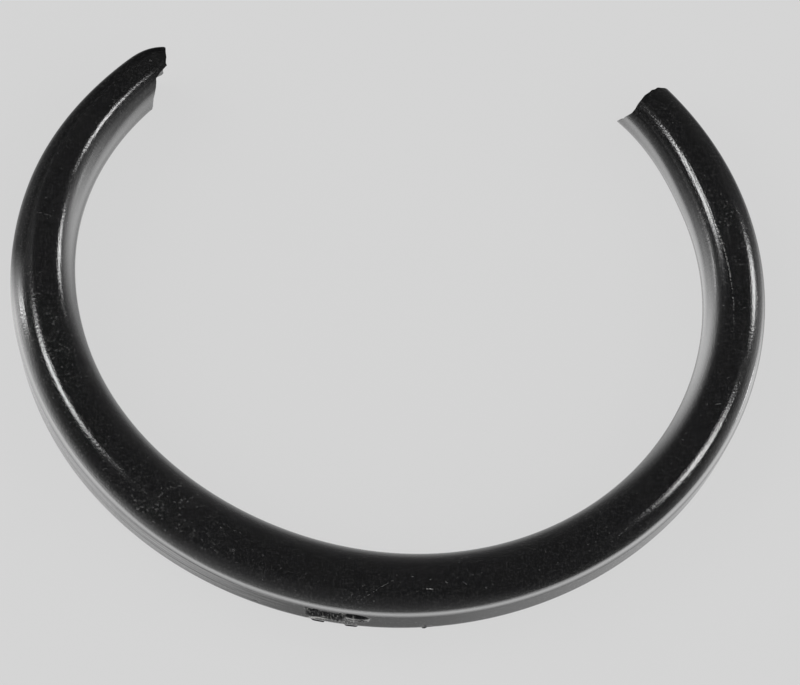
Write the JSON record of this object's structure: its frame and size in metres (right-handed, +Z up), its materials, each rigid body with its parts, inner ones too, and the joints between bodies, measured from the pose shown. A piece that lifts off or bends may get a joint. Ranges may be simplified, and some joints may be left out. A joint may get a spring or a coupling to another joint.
{
  "type": "broken bangle bracelet",
  "caption": "Broken open bangle of polished black stone, rounded inside, with a low crown and an upright outer wall, lying flat.",
  "frame": {"origin": "middle of the bounding box, on the plane of the flat underside", "axes": "+X along the longest extent, +Y from the widest stretch of the band towards the gap between the broken ends, +Z up from the flat underside to the crown"},
  "size_m": [0.0752, 0.066, 0.0058],
  "materials": {
    "polished_black_stone": "polished"
  },
  "bodies": {
    "root": {"bangle": "polished_black_stone"}
  },
  "joints": []
}
